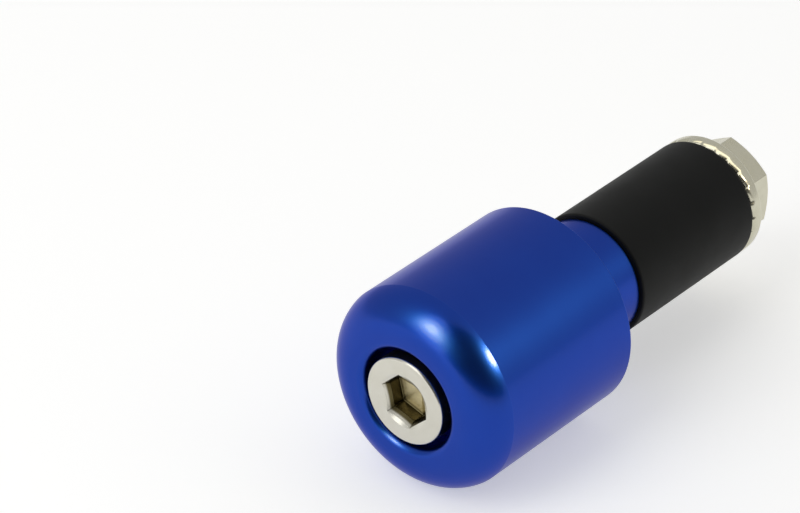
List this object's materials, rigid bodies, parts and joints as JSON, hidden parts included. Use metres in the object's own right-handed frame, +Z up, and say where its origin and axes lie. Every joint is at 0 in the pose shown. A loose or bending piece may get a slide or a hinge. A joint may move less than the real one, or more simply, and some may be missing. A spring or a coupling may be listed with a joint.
{
  "type": "bar end weight",
  "caption": "Round anodised handlebar end weight with a domed nose, and a rubber expander sleeve that a screw and flange nut squeeze to grip the inside of the bar.",
  "frame": {"origin": "on the axis, in the plane of the shoulder that meets the end of the handlebar", "axes": "+X along the axis, from the rounded nose towards the nut and into the bar; +Z up"},
  "size_m": [0.0733, 0.03, 0.03],
  "materials": {
    "blue_anodised_aluminium": "polished, blue anodised",
    "nickel_plated_steel": "bright nickel plate",
    "zinc_plated_steel": "plated, satin",
    "black_rubber": "moulded, satin"
  },
  "bodies": {
    "weight": {"weight_body": "blue_anodised_aluminium", "rubber_sleeve": "black_rubber"},
    "screw": {"socket_screw": "nickel_plated_steel"},
    "nut": {"flange_nut": "zinc_plated_steel"}
  },
  "joints": [
    {"name": "screw_turn", "type": "hinge", "parent": "weight", "child": "screw", "pos_m": [0, 0, 0], "axis": [1, 0, 0], "range_deg": [0, 864]},
    {"name": "nut_draw", "type": "slide", "parent": "weight", "child": "nut", "axis": [-1, 0, 0], "range_m": [0, 0.003], "deforming": ["rubber_sleeve"]}
  ],
  "couplings": [
    {"joint": "nut_draw", "follows": "screw_turn", "m_per_rad": 0.00019894}
  ]
}
